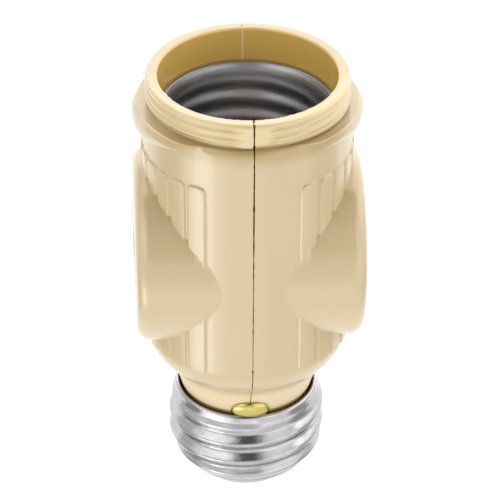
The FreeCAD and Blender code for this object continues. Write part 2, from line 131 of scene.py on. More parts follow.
def lathe(name, profile, count, axis="z", centre=(0, 0, 0), loop=False):
    # profile of (radius, height), turned about the axis
    t = np.arange(count) * 2 * math.pi / count
    rows = []
    for r, h in profile:
        c, s, o = r * np.cos(t), r * np.sin(t), np.full(count, float(h))
        rows.append({"z": np.stack([c, s, o], 1), "x": np.stack([o, c, s], 1), "y": np.stack([s, o, c], 1)}[axis])
    grid = np.array(rows) + np.array(centre, float)
    return rings(name, grid, loop=loop)


def block(name, lo, hi, bevel=0.0):
    bm = bmesh.new()
    bmesh.ops.create_cube(bm, size=1.0)
    for v in bm.verts:
        v.co = Vector([(lo[i] + hi[i]) / 2 + v.co[i] * (hi[i] - lo[i]) for i in range(3)]) * 0.001
    if bevel:
        bmesh.ops.bevel(bm, geom=bm.edges[:], offset=bevel * 0.001, segments=2, affect="EDGES")
    me = bpy.data.meshes.new(name)
    bm.to_mesh(me)
    bm.free()
    ob = bpy.data.objects.new(name, me)
    bpy.context.scene.collection.objects.link(ob)
    return ob


def apply_modifiers(ob):
    dg = bpy.context.evaluated_depsgraph_get()
    me = bpy.data.meshes.new_from_object(ob.evaluated_get(dg))
    old = ob.data
    ob.modifiers.clear()
    ob.data = me
    bpy.data.meshes.remove(old)


def combine(ob, tool, operation):
    m = ob.modifiers.new("cut", "BOOLEAN")
    m.operation = operation
    m.solver = "MANIFOLD"
    m.object = tool
    apply_modifiers(ob)
    me = tool.data
    bpy.data.objects.remove(tool)
    bpy.data.meshes.remove(me)


def finish_shading(ob, angle=32.0):
    me = ob.data
    me.polygons.foreach_set("use_smooth", [True] * len(me.polygons))
    me.set_sharp_from_angle(angle=math.radians(angle))


# ----------------------------------------------------------- moulded body shape
STEP = (180.0 - 2 * PANEL_FIRST) / PANEL_COUNT
HALF_GAP = math.degrees(PANEL_GAP / R_PANEL) / 2
PANELS = [(PANEL_FIRST + i * STEP + (HALF_GAP if i else 0.0),
           PANEL_FIRST + (i + 1) * STEP - (HALF_GAP if i < PANEL_COUNT - 1 else 0.0)) for i in range(PANEL_COUNT)]
MM = math.degrees(1.0 / 17.3)


def panel_height(side, z):
    # 0..1 over the raised panels; side is degrees from the front seam, 0..180
    out = np.zeros_like(side)
    for a0, a1 in PANELS:
        u = (side - (a0 + a1) / 2) / MM
        hw = (a1 - a0) / 2 / MM
        hh = (Z_PANEL_TOP - Z_PANEL_LOW) / 2
        qx = np.abs(u) - (hw - PANEL_CORNER)
        qz = np.abs(z - (Z_PANEL_TOP + Z_PANEL_LOW) / 2) - (hh - PANEL_CORNER)
        d = -(np.hypot(np.maximum(qx, 0), np.maximum(qz, 0)) + np.minimum(np.maximum(qx, qz), 0) - PANEL_CORNER)
        out = np.maximum(out, smooth((d + 0.12) / 0.34))
    return out


def collar_r(signed, z):
    near = np.minimum(np.abs(signed), 180.0 - np.abs(signed))
    fade = smooth((near - 4.5) / 8.5)
    phase = (z - COLLAR_GROOVE_Z) / COLLAR_PITCH - (signed + 27.5) / 360.0
    wave = (0.5 + 0.5 * np.cos(2 * np.pi * phase)) ** 0.85
    top = np.clip((Z_TOP - 0.55 - z) / 0.45, 0, 1)
    r = R_COLLAR - 1.06 * COLLAR_DEPTH * wave * fade * top
    # the last groove runs out above the ledge, deeper on the right of each seam
    end = Z_LEDGE + 0.75 - 0.55 * smooth((np.where(signed < 0, signed + 180.0, signed) - 9.0) / 9.0)
    low = smooth((z - end) / 0.22)
    r = R_RELIEF + (r - R_RELIEF) * low
    rad = 0.35 + 0.35 * smooth((150.0 - np.abs(signed)) / 90.0)
    h = np.clip(z - (Z_TOP - rad), 0, rad)
    return r - (rad - np.sqrt(np.maximum(0.0, rad * rad - h * h)))


def flange_r(signed, z):
    near = np.minimum(np.abs(signed), 180.0 - np.abs(signed))
    # rounded off at the middle of each side
    u = np.clip((near - 38.0) / 52.0, 0, 1)
    bulge = BULGE * np.clip(1.0 - (np.sqrt((1.0 - u) ** 2 + 0.0225) - 0.15) / (math.sqrt(1.0225) - 0.15), 0, 1) ** 1.78
    peak_z = 73.4
    peak = R_BODY + bulge
    if z >= peak_z:
        edge = R_LEDGE_FRONT + (R_LEDGE_SIDE - R_LEDGE_FRONT) * smooth((near - 18.0) / 26.0)
        t = (Z_LEDGE - z) / (Z_LEDGE - peak_z)
        return edge + (peak + 0.03 - edge) * (1.0 - max(0.0, 1.0 - t) ** 5.0)
    low_z = peak_z - 0.15 - 4.9 * bulge / BULGE
    g = np.clip((z - low_z) / (peak_z - low_z), 0, 1)
    # the bulge stays full, then runs out softly at its lower end
    k = table([(0.0, 0.0), (0.07, 0.02), (0.15, 0.10), (0.25, 0.28), (0.38, 0.54), (0.52, 0.76), (0.70, 0.90),
               (0.85, 0.965), (1.0, 1.0)], g)
    return R_BODY + bulge * k + 0.03 * float(z > 73.0)


SHOULDER = clamped_spline([(17.1, 33.4), (16.92, 31.1), (16.15, 29.1), (15.25, 27.8), (14.3, 26.7), (13.2, 25.35),
                           (12.15, 23.3), (11.5, 21.4), (11.1, 19.8), (10.95, 18.2)], (0, -1), (0, -1), 6)


def body_columns():
    side = list(np.arange(0.0, 25.4, 0.8))
    ins = [-0.13, -0.07, -0.01, 0.05, 0.11, 0.17, 0.23, 0.30, 0.38, 0.55, 0.9]
    for a0, a1 in PANELS:
        side += [a0 + o * MM for o in ins] + [a1 - o * MM for o in ins]
        c = (a0 + a1) / 2
        side += [c, c - 0.25 * MM, c + 0.25 * MM]
    side += [180.0 - v for v in np.arange(0.0, 25.4, 0.8)] + [179.75, 179.55, 179.4, 179.25, 178.95]
    for a, b in zip(PANELS, PANELS[1:]):
        side.append((a[1] + b[0]) / 2)
    side = np.unique(np.round(side, 4))
    keep = [side[0]]
    for v in side[1:]:
        if v - keep[-1] > 0.05:
            keep.append(v)
    if keep[-1] != 180.0:
        keep[-1] = 180.0
    side = np.array(keep)
    return np.concatenate([-side[1:-1][::-1], side])


COLUMNS = body_columns()


def rim_flash(signed):
    # small torn burrs of moulding flash along the mouth's inner edge, mostly at the front
    t = np.radians(signed)
    wave = (0.5 * np.sin(41 * t + 0.7) + 0.35 * np.sin(67 * t + 2.1) + 0.3 * np.sin(113 * t + 4.0)
            + 0.25 * np.sin(173 * t + 1.3))
    front = np.exp(-(signed / 62.0) ** 4)
    out = 0.045 * np.maximum(0.0, wave) * front
    for at, wide, high in ((-66, 2.2, 0.16), (-61, 1.4, 0.12), (-19.5, 1.5, 0.14), (-14.5, 1.0, 0.12), (-9.5, 1.3, 0.15),
                           (-4.6, 0.9, 0.10), (7.5, 1.2, 0.10), (23.5, 1.5, 0.14), (29.0, 1.2, 0.12), (38.0, 1.6, 0.08),
                           (62.0, 2.0, 0.10)):
        out += high * np.exp(-((signed - at) / wide) ** 2)
    return out


def body_rows():
    # (radius for each column, height) from the neck's underside, up the outside and down into the mouth
    s = COLUMNS
    one = np.ones_like(s)
    side = np.abs(s)
    rows = [(9.7 * one, 4.95), (9.75 * one, 5.0), (R_NECK * one, 8.6), (R_NECK * one, 9.0)]
    rows += [(R_NECK * one, z) for z in np.arange(11.0, 17.6, 1.4)]
    low_z, low_r = SHOULDER[::-1, 1], SHOULDER[::-1, 0]
    ins = [-0.13, -0.07, -0.01, 0.05, 0.11, 0.17, 0.23, 0.30, 0.38, 0.55, 0.9]
    zs = [z for z in low_z if z < Z_PANEL_LOW - 0.2] + [28.7, 28.85, 29.0, 29.1, 29.2, 29.3, 29.4, 29.55, 29.7]
    zs += [Z_PANEL_LOW + o for o in ins] + [32.8, 33.4, 34.4] + list(np.arange(35.6, 66.0, 1.1))
    zs += [Z_PANEL_TOP - o for o in ins] + [68.3, 68.7, 69.1]
    for z in sorted(set(np.round(zs, 4))):
        r = flange_r(s, z) if z > 66.0 else float(np.interp(z, low_z, low_r)) * one
        r = r + 0.07 * math.exp(-((z - 29.2) / 0.19) ** 2)
        rows.append((r + (R_PANEL - R_BODY) * panel_height(side, z), z))
    for z in np.concatenate([np.arange(69.5, 73.0, 0.32), np.arange(73.0, 74.3, 0.16), np.arange(74.3, 75.1, 0.1),
                             [75.15, 75.22, 75.28, 75.33, 75.37, 75.4, 75.43, 75.45]]):
        rows.append((flange_r(s, z), z))
    ledge = flange_r(s, Z_LEDGE)
    for k in (0.04, 0.12, 0.5, 0.85):
        rows.append((ledge + (R_RELIEF + 0.04 - ledge) * k, Z_LEDGE + 0.0 * k))
    rows.append((R_RELIEF * one, Z_LEDGE + 0.05))
    for z in np.arange(Z_LEDGE + 0.12, Z_TOP - 0.7, 0.075):
        rows.append((collar_r(s, z), z))
    for a in np.radians(np.arange(4, 88, 9)):
        rows.append((collar_r(s, Z_TOP - 0.7 + 0.7 * math.sin(a)), Z_TOP - 0.7 + 0.7 * math.sin(a)))
    rows += [(15.9 * one, 80.0), (15.6 * one, 80.0), (15.2 * one, 80.0)]
    c, rad = R_MOUTH + 0.4, 0.4
    flash = rim_flash(s)
    for a in np.radians(np.arange(90, 185, 15)):
        k = max(0.0, math.sin(a / 2)) ** 4 * min(1.0, 1.25 - 0.25 * math.sin(a))
        rows.append(((c + rad * math.cos(a)) * one - flash * k * (1 - 0.6 * math.sin(a) ** 2),
                     Z_TOP - rad + rad * math.sin(a) + 0.25 * flash * (math.sin(a) < 0.9)))
    rows.append((R_MOUTH * one - 0.35 * flash, 79.3))
    bead = 0.05 * np.exp(-((180.0 - side) / 0.70) ** 4)
    rows += [(R_MOUTH * one - bead * k, z) for z, k in ((79.0, 0.7), (78.6, 1.0), (77.0, 1.0), (76.0, 1.0), (75.0, 1.0), (74.15, 1.0))]
    rows += [((R_MOUTH + 0.1) * one, 74.05), (R_RECESS * one, 74.05), (R_RECESS * one, 73.6), (R_RECESS * one, 73.2),
             (R_CHAMBER * one, 73.2), (R_CHAMBER * one, 66.0), (R_CHAMBER * one, 60.0), (R_CHAMBER * one, 53.9),
             (R_SEAT * one, 53.9), (R_SEAT * one, 52.3)]
    return rows


def make_body():
    a = np.radians(COLUMNS - 90.0)
    c, s = np.cos(a), np.sin(a)
    grid = [np.stack([r * c, r * s, np.full_like(c, z)], 1) for r, z in body_rows()]
    body = rings("body", grid)
    # round outlet boss through both sides
    prof = [(0.4, -BOSS_X), (6.0, -BOSS_X), (10.0, -BOSS_X), (BOSS_R - BOSS_FILLET, -BOSS_X)]
    for t in np.radians(np.arange(7.5, 90, 7.5)):
        prof.append((BOSS_R - BOSS_FILLET + BOSS_FILLET * math.sin(t), -BOSS_X + BOSS_FILLET - BOSS_FILLET * math.cos(t)))
    xs = np.linspace(-BOSS_X + BOSS_FILLET, BOSS_X - BOSS_FILLET, 25)
    prof += [(BOSS_R, x) for x in xs]
    prof += [(r, -h) for r, h in prof[:4 + 11][::-1]]
    boss = lathe("boss", prof, 288, "x", (0, 0, BOSS_Z))
    combine(body, boss, "UNION")
    return body


def make_cavities():
    # everything that is moulded hollow, as one solid
    cut = lathe("cavity", [(8.2, 7.9), (8.2, 36.0)], 64)
    combine(cut, lathe("t", [(1.75, 3.0), (1.75, 8.4)], 32), "UNION")
    # socket chamber, also where the boss crosses it
    combine(cut, lathe("t", [(R_SEAT + 0.02, 52.28), (R_SEAT + 0.02, 53.92), (R_CHAMBER + 0.02, 53.92), (R_CHAMBER + 0.02, 58.0),
                             (R_CHAMBER + 0.02, 62.0), (R_CHAMBER + 0.02, 66.5)], 240), "UNION")
    for s in (-1, 1):
        y0, y1 = sorted((s * 2.6, s * 10.0))
        combine(cut, block("t", (-16.2, y0, 40.2), (16.2, y1, 52.4)), "UNION")
        y0, y1 = sorted((s * 4.6, s * 8.4))
        combine(cut, block("t", (-2.3, y0, 33.0), (2.3, y1, 40.3)), "UNION")
        y0, y1 = sorted((s * 5.0, s * 8.4))
        combine(cut, block("t", (-2.3, y0, 14.9 if s < 0 else 7.9), (2.3, y1, 36.0)), "UNION")
    combine(cut, block("t", (-2.3, -12.4, 50.7), (2.3, 6.0, 52.4)), "UNION")
    combine(cut, lathe("t", [(1.9, 50.7), (1.9, 52.4)], 24, "z", (0, 10.3, 0)), "UNION")
    combine(cut, lathe("t", [(1.65, -19.5), (1.65, 19.5)], 32, "x", (0, 0, BOSS_Z)), "UNION")
    for sx in (-1, 1):
        for sy, length in ((-1, 8.8), (1, 7.2)):
            y = sy * 6.35
            # slot with a small lead-in at the face
            w, l = 1.05, length / 2
            xs = [sx * 16.0, sx * 18.45, sx * 18.62, sx * 18.81, sx * 19.4]
            grow = [0.0, 0.0, 0.05, 0.24, 0.24]
            grid = []
            for x, g in zip(xs, grow):
                grid.append([(x, y - w - g, BOSS_Z - l - g), (x, y + w + g, BOSS_Z - l - g),
                             (x, y + w + g, BOSS_Z + l + g), (x, y - w - g, BOSS_Z + l + g)])
            combine(cut, rings("t", grid), "UNION")
        prof = [(3.2, sx * 17.8), (3.2, sx * 18.6), (3.25, sx * 18.7), (3.42, sx * 18.81), (3.42, sx * 19.2)]
        combine(cut, lathe("t", prof, 64, "x", (0, 0, BOSS_Z)), "UNION")
    combine(cut, lathe("t", [(1.25, -12.5), (1.25, -7.5)], 32, "y", (0, 0, 19.4)), "UNION")
    return cut


def seam_gap():
    # thin uneven parting gap: open at the front, closed to a hairline at the back
    zs = np.arange(3.0, 82.01, 0.22)
    prof_z, prof_r = [], []
    for r, z in body_rows():
        z = float(np.mean(z))
        if z > Z_LEDGE + 0.01 and len(prof_z) and z < prof_z[-1]:
            break
        prof_z.append(z)
        prof_r.append(float(r[len(COLUMNS) // 2]))
    order = np.argsort(prof_z, kind="stable")
    rad = np.interp(zs, np.array(prof_z)[order], np.array(prof_r)[order])
    n = len(zs)
    k = np.hanning(9)
    wobble = np.convolve(rng.normal(0, 1, n + 24), k / k.sum(), "same")[12:12 + n]
    fine = np.convolve(rng.normal(0, 1, n + 24), [0.25, 0.5, 0.25], "same")[12:12 + n]
    mean = table([(3, 0.04), (20, 0.036), (33, 0.034), (44, 0.030), (52, 0.042), (60, 0.074), (68, 0.084), (72, 0.062),
                  (74, 0.062), (76, 0.086), (80, 0.088)], zs)
    spread = table([(3, 0.3), (33, 0.4), (50, 0.45), (60, 0.22), (80, 0.16)], zs)
    front = np.clip(mean * (1 + spread * (1.7 * wobble + 1.0 * fine)), 0.008, 0.13)
    chips = np.zeros(n)
    for z0, w, h in ((79.7, 0.5, 0.13), (78.6, 0.25, 0.05), (75.8, 0.4, 0.06), (72.6, 0.5, 0.02), (64.6, 0.7, 0.06),
                     (61.3, 0.5, 0.04), (57.3, 0.5, 0.04), (49.5, 0.4, 0.04), (41.0, 0.3, 0.03), (32.9, 0.35, 0.12),
                     (31.8, 0.2, 0.05), (24.9, 0.25, 0.06)):
        chips += h * np.exp(-((zs - z0) / w) ** 2)
    hair = np.full(n, 0.008)
    ys, gs = [], []
    for d, e, ck in ((-0.8, 0.075, 1), (0.0, 0.062, 1), (0.04, 0.034, 0.95), (0.10, 0.012, 0.8), (0.2, 0.0, 0.45),
                     (0.4, 0.0, 0.1), (1.0, 0.0, 0.0)):
        ys.append(-(rad - d))
        gs.append(front + e + ck * chips)
    wall = np.where(zs > 73.9, R_MOUTH, rad * 0.84)
    # the front gap closes to a hairline inside the wall, but for the nick across the rim
    deep = np.minimum(wall + 0.5, rad - 1.02)
    shut = np.where(zs > 79.5, front, hair)
    ys.append(-deep)
    gs.append(front)
    ys.append(-(deep - 0.2))
    gs.append(shut)
    ys.append(-np.minimum(wall - 0.6, deep - 0.4))
    gs.append(shut)
    ys.append(0 * wall)
    gs.append(hair)
    for d, e in ((-0.5, 0.0), (-0.04, 0.0), (0.0, 0.0), (0.03, 0.0), (0.08, 0.0), (0.14, 0.0)):
        ys.append(wall + d)
        gs.append(hair + e)
    for d, e in ((0.35, 0.0), (0.2, 0.012), (0.10, 0.05), (0.04, 0.07), (0.0, 0.09), (-0.8, 0.11)):
        ys.append(rad - d)
        gs.append(hair + e)
    ys, gs = np.array(ys), np.array(gs)
    cols = ys.shape[0]
    verts, faces = [], []
    for sgn in (-1, 1):
        for j in range(n):
            for i in range(cols):
                verts.append((sgn * gs[i, j], ys[i, j], zs[j]))
    off = n * cols
    for j in range(n - 1):
        for i in range(cols - 1):
            a = j * cols + i
            faces.append((a, a + 1, a + cols + 1, a + cols))
            faces.append((off + a, off + a + cols, off + a + cols + 1, off + a + 1))
    for j in range(n - 1):
        for i in (0, cols - 1):
            a = j * cols + i
            faces.append((a, a + cols, off + a + cols, off + a))
    for i in range(cols - 1):
        for j in (0, n - 1):
            a = j * cols + i
            faces.append((a, off + a, off + a + 1, a + 1))
    ob = new_object("gap", verts, faces)
    outward(ob)
    return ob


def split_halves(body):
    me = body.data
    n = len(me.vertices)
    co = np.empty(n * 3)
    me.vertices.foreach_get("co", co)
    co = co.reshape(-1, 3)
    out = []
    for name, sgn in (("body_left", -1), ("body_right", 1)):
        ob = bpy.data.objects.new(name, me.copy())
        bpy.context.scene.collection.objects.link(ob)
        bm = bmesh.new()
        bm.from_mesh(ob.data)
        gone = [v for v in bm.verts if v.co.x * sgn < 0]
        bmesh.ops.delete(bm, geom=gone, context="VERTS")
        bmesh.ops.remove_doubles(bm, verts=bm.verts, dist=2e-7)
        bmesh.ops.dissolve_degenerate(bm, edges=bm.edges, dist=1e-7)
        bm.to_mesh(ob.data)
        bm.free()
        ob.data.name = name
        finish_shading(ob, 40)
        w = ob.modifiers.new("normals", "WEIGHTED_NORMAL")
        w.keep_sharp = True
        out.append(ob)
    bpy.data.objects.remove(body)
    bpy.data.meshes.remove(me)
    return out


body = make_body()
combine(body, make_cavities(), "DIFFERENCE")
combine(body, seam_gap(), "DIFFERENCE")
left, right = split_halves(body)
for ob, node in ((left, "body_half_left"), (right, "body_half_right")):
    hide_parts(node)
    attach(ob, "root")


# ------------------------------------------------------------------ base shell
def base_shell_r(a, z):
    mean = table([(4.55, 9.9), (4.9, 10.45), (5.6, 11.05), (6.5, 11.60), (7.6, 12.15), (9.0, 12.60),
                  (10.4, 12.80), (16.2, 12.80), (17.1, 12.60), (17.9, 12.34), (18.6, R_SHELL_RIM), (20.0, R_SHELL_RIM)], z)
    amp = table([(5.4, 0.0), (6.6, 0.26), (8.2, 0.48), (16.2, 0.48), (17.3, 0.22), (18.4, 0.0)], z)
    return mean + amp * np.cos(2 * np.pi * ((z - Z_PHASE) / PITCH) - a)


def thread_shell(name, rfun, z0, z1, t, count, dz, hem, floor):
    # rolled sheet: outside up, round the lip, inside down, round the floor
    a = np.arange(count) * 2 * np.pi / count
    zs = np.linspace(z0, z1, int((z1 - z0) / dz) + 1)
    k = np.array([1, 3, 6, 7, 6, 3, 1], float)
    k /= k.sum()
    fine = [rfun(a, z) for z in np.concatenate([[z0] * 3, zs, [z1] * 3])]
    outer = [sum(k[i] * fine[j + i] for i in range(7)) for j in range(len(zs))]
    rows = [(r, z) for r, z in zip(outer, zs[:-1])]
    top = outer[-1]
    if hem:
        # the sheet's edge is folded inwards
        for b in np.radians(np.arange(0, 181, 15)):
            rows.append((top - hem / 2 + hem / 2 * np.cos(b), z1 - hem / 2 + hem / 2 * np.sin(b)))
        one = np.ones(count)
        rows += [(top - hem, z1 - hem / 2 - d) for d in (0.3, 0.7)]
        rows += [(top - hem + 0.1, z1 - hem / 2 - 0.85), (top - t - 0.08, z1 - hem / 2 - 0.85)]
        rows += [(r - t, z) for r, z in list(zip(outer, zs))[::-1] if z < z1 - hem / 2 - 0.9]
        rows = [(r, z) for r, z in rows[:len(zs) - 1] if z < z1 - hem / 2] + rows[len(zs) - 1:]
    else:
        for b in np.radians(np.arange(0, 181, 22.5)):
            rows.append((top - t / 2 + t / 2 * np.cos(b), z1 - t / 2 + t / 2 * np.sin(b)))
        rows += [(r - t, z) for r, z in list(zip(outer, zs))[::-1][1:]]
        rows = [(r, z) for r, z in rows[:len(zs) - 1] if z < z1 - t / 2] + rows[len(zs) - 1:]
    if floor:
        one = np.ones(count)
        rows += [(floor * one, z0 + t), (floor * one, z0)]
    grid = [np.stack([r * np.cos(a), r * np.sin(a), z + 0 * a], 1) for r, z in rows]
    return rings(name, grid, loop=True)


shell = thread_shell("screw_shell", base_shell_r, 4.55, Z_BASE_RIM, SHELL_T, 288, 0.12, 0.82, 8.3)
finish_shading(shell, 50)
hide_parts("base_screw_shell")
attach(shell, "root")


# ---------------------------------------------------------------- socket shell
def socket_shell_r(a, z):
    mid = (R_MAJOR + R_MINOR) / 2
    mean = table([(53.9, 12.25), (54.6, 12.75), (55.4, mid), (70.8, mid), (71.6, 13.0),
                  (72.6, 13.16), (73.3, 13.38), (73.8, 13.66), (74.0, 13.78)], z)
    amp = table([(54.4, 0.0), (56.2, (R_MAJOR - R_MINOR) / 2), (70.2, (R_MAJOR - R_MINOR) / 2), (71.8, 0.0)], z)
    return mean + SOCKET_T + amp * np.cos(2 * np.pi * ((z - Z_SOCKET_PHASE) / PITCH) - a)


socket = thread_shell("socket_shell", socket_shell_r, 53.9, 74.0, SOCKET_T, 240, 0.15, 0.0, 8.7)
finish_shading(socket, 50)
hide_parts("socket_screw_shell")
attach(socket, "root")


# ----------------------------------------------------------------- neck rivet
def neck_rivet():
    # oval domed head that leans back from the shell's rim to the neck, on a round shank
    centre = Vector((0.0, -11.52, 20.9))
    along = Vector((0.0, -0.33, 0.944)).normalized()
    out = Vector((0.0, -along.z, along.y))
    rows = []
    t = np.arange(72) * 2 * math.pi / 72
    prof = [(0.05, 1.0)] + [(math.sin(b), math.cos(b)) for b in np.radians(np.arange(9, 89, 8))] + [(1.0, 0.0)]
    prof += [(math.sin(b), math.cos(b)) for b in np.radians(np.arange(100, 172, 12))] + [(0.05, -1.0)]
    for q, h in prof:
        h = 0.85 * h ** 1.1 if h > 0 else 0.3 * h
        rows.append([centre + Vector((3.25 * q * math.cos(a), (3.25 * q * math.cos(a)) ** 2 / 23.0, 0))
                     + along * (2.3 * q * math.sin(a)) + out * h for a in t])
    head = rings("rivet", np.array([[tuple(v) for v in r] for r in rows]))
    shank = lathe("t", [(1.12, -11.35), (1.12, -8.0), (2.0, -8.0), (1.9, -7.6), (1.2, -7.4)], 32, "y", (0, 0, 19.4))
    combine(head, shank, "UNION")
    return head


rivet = neck_rivet()
rivet.name = "brass_rivet_head"
finish_shading(rivet, 40)
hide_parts("neck_rivet")
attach(rivet, "root")


# ------------------------------------------------------------------- materials
def material(name):
    m = bpy.data.materials.new(name)
    m.use_nodes = True
    nt = m.node_tree
    nt.nodes.clear()
    out = nt.nodes.new("ShaderNodeOutputMaterial")
    p = nt.nodes.new("ShaderNodeBsdfPrincipled")
    nt.links.new(p.outputs[0], out.inputs[0])
    return m, nt, p


def noise_node(nt, scale, detail=3.0, rough=0.5, stretch=None):
    tc = nt.nodes.new("ShaderNodeTexCoord")
    n = nt.nodes.new("ShaderNodeTexNoise")
    n.inputs["Scale"].default_value = scale
    n.inputs["Detail"].default_value = detail
    n.inputs["Roughness"].default_value = rough
    src = tc.outputs["Object"]
    if stretch:
        mp = nt.nodes.new("ShaderNodeMapping")
        mp.inputs["Scale"].default_value = stretch
        nt.links.new(src, mp.inputs["Vector"])
        src = mp.outputs[0]
    nt.links.new(src, n.inputs["Vector"])
    return n


def ramp(nt, fac, stops):
    r = nt.nodes.new("ShaderNodeValToRGB")
    while len(r.color_ramp.elements) < len(stops):
        r.color_ramp.elements.new(0.5)
    for e, (pos, colour) in zip(r.color_ramp.elements, stops):
        e.position = pos
        e.color = (*colour, 1.0)
    nt.links.new(fac, r.inputs[0])
    return r


def ranged(nt, fac, lo, hi, a=0.3, b=0.7):
    m = nt.nodes.new("ShaderNodeMapRange")
    m.inputs["From Min"].default_value = a
    m.inputs["From Max"].default_value = b
    m.inputs["To Min"].default_value = lo
    m.inputs["To Max"].default_value = hi
    nt.links.new(fac, m.inputs["Value"])
    return m


def bump(nt, p, height, strength, distance):
    b = nt.nodes.new("ShaderNodeBump")
    b.inputs["Strength"].default_value = strength
    b.inputs["Distance"].default_value = distance
    nt.links.new(height, b.inputs["Height"])
    nt.links.new(b.outputs[0], p.inputs["Normal"])
    return b


def srgb(*c):
    return tuple(((v / 255) / 12.92 if v / 255 <= 0.04045 else ((v / 255 + 0.055) / 1.055) ** 2.4) for v in c)


def ivory():
    m, nt, p = material("ivory_moulding")
    big = noise_node(nt, 55, 3, 0.5)
    base = ramp(nt, big.outputs["Fac"], [(0.30, (0.568, 0.440, 0.242)), (0.70, (0.588, 0.458, 0.256))])
    # painted glow: the mouth's inner wall is coloured golden to stand in for light soaking through the thin wall and
    # bouncing inside the mouth
    painted_glow = ramp(nt, big.outputs["Fac"], [(0.30, (0.76, 0.50, 0.115)), (0.70, (0.80, 0.53, 0.125))])
    deep = ramp(nt, big.outputs["Fac"], [(0.30, (0.445, 0.310, 0.120)), (0.70, (0.465, 0.325, 0.130))])
    painted_light_neck = ramp(nt, big.outputs["Fac"], [(0.30, (0.725, 0.580, 0.355)), (0.70, (0.745, 0.600, 0.370))])
    painted_light_collar = ramp(nt, big.outputs["Fac"], [(0.30, (0.690, 0.540, 0.280)), (0.70, (0.705, 0.555, 0.290))])
    painted_seam_highlight = ramp(nt, big.outputs["Fac"], [(0.30, (0.920, 0.720, 0.340)), (0.70, (0.930, 0.730, 0.350))])
    painted_shade_olive = ramp(nt, big.outputs["Fac"], [(0.30, (0.200, 0.150, 0.045)), (0.70, (0.220, 0.165, 0.050))])
    xyz = nt.nodes.new("ShaderNodeSeparateXYZ")
    nt.links.new(nt.nodes.new("ShaderNodeTexCoord").outputs["Object"], xyz.inputs[0])

    def node(op, a, b):
        n = nt.nodes.new("ShaderNodeMath")
        n.operation = op
        for i, v in enumerate((a, b)):
            if isinstance(v, float):
                n.inputs[i].default_value = v
            else:
                nt.links.new(v, n.inputs[i])
        return n.outputs[0]

    def step(v, lo, hi):
        n = nt.nodes.new("ShaderNodeMapRange")
        n.interpolation_type = "SMOOTHSTEP"
        n.inputs["From Min"].default_value = lo
        n.inputs["From Max"].default_value = hi
        nt.links.new(v, n.inputs["Value"])
        return n.outputs[0]

    rad = node("POWER", node("ADD", node("MULTIPLY", xyz.outputs[0], xyz.outputs[0]),
                             node("MULTIPLY", xyz.outputs[1], xyz.outputs[1])), 0.5)
    x, y, z = xyz.outputs[0], xyz.outputs[1], xyz.outputs[2]
    # painted highlight: a pale line down the back seam inside the mouth
    seam = node("MULTIPLY", step(node("ABSOLUTE", node("SUBTRACT", x, 0.00004), 0.0), 0.00020, 0.00014), step(y, 0.0, 0.001))
    inside = node("MULTIPLY", step(rad, 0.01485, 0.01462), step(z, 0.0722, 0.0732))
    seam = node("MULTIPLY", seam, inside)
    # painted shade darkens the groove under the collar at the front, and painted light makes the neck a little paler
    painted_shade_under_collar = node("MULTIPLY", step(z, 0.0718, 0.0748), step(z, 0.0762, 0.0757))
    painted_shade_under_collar = node("MULTIPLY", painted_shade_under_collar, node("MULTIPLY", step(y, -0.0075, -0.0135), step(rad, 0.0152, 0.0156)))
    painted_shade_under_collar = node("MULTIPLY", painted_shade_under_collar, 0.95)
    neck = node("MULTIPLY", step(z, 0.0285, 0.0240), step(z, 0.0198, 0.0208))
    # painted shade: a dark olive band on the neck just above the shell's rim
    root = node("MULTIPLY", step(z, 0.0209, 0.0201), step(z, 0.0030, 0.0040))
    # painted light: a lighter band on the lower front of the collar
    collar = node("MULTIPLY", step(z, 0.0759, 0.0763), node("MULTIPLY", step(rad, 0.0150, 0.0154), step(y, 0.002, -0.007)))
    colour = base.outputs[0]
    for mask, c in ((inside, painted_glow), (seam, painted_seam_highlight), (painted_shade_under_collar, deep), (collar, painted_light_collar), (neck, painted_light_neck), (root, painted_shade_olive)):
        mix = nt.nodes.new("ShaderNodeMix")
        mix.data_type = "RGBA"
        nt.links.new(mask, mix.inputs["Factor"])
        nt.links.new(colour, mix.inputs[6])
        nt.links.new(c.outputs[0], mix.inputs[7])
        colour = mix.outputs[2]
    nt.links.new(colour, p.inputs["Base Color"])
    nt.links.new(node("ADD", node("MULTIPLY", neck, 0.22), 0.27), p.inputs["Roughness"])
    p.inputs["IOR"].default_value = 1.62
    nt.links.new(node("SUBTRACT", 0.6, node("MULTIPLY", neck, 0.5)), p.inputs["Coat Weight"])
    p.inputs["Coat Roughness"].default_value = 0.06
    p.inputs["Coat IOR"].default_value = 1.6
    wave = noise_node(nt, 160, 2, 0.5)
    bump(nt, p, wave.outputs["Fac"], 0.012, 0.0002)
    return m


def metal(name, lo, hi, rough, scale, stretch=None, bump_k=0.05, noise_scale=None):
    m, nt, p = material(name)
    n = noise_node(nt, scale, 4, 0.6, stretch)
    base = ramp(nt, n.outputs["Fac"], [(0.3, lo), (0.7, hi)])
    nt.links.new(base.outputs[0], p.inputs["Base Color"])
    p.inputs["Metallic"].default_value = 1.0
    ro = ranged(nt, n.outputs["Fac"], rough[0], rough[1])
    nt.links.new(ro.outputs[0], p.inputs["Roughness"])
    f = noise_node(nt, noise_scale or scale * 3, 3, 0.6, stretch)
    bump(nt, p, f.outputs["Fac"], bump_k, 0.0002)
    return m


def matte(name, lo, hi, rough, scale):
    m, nt, p = material(name)
    n = noise_node(nt, scale, 5, 0.65)
    base = ramp(nt, n.outputs["Fac"], [(0.3, lo), (0.7, hi)])
    nt.links.new(base.outputs[0], p.inputs["Base Color"])
    ro = ranged(nt, n.outputs["Fac"], rough[0], rough[1])
    nt.links.new(ro.outputs[0], p.inputs["Roughness"])
    bump(nt, p, n.outputs["Fac"], 0.2, 0.0003)
    return m


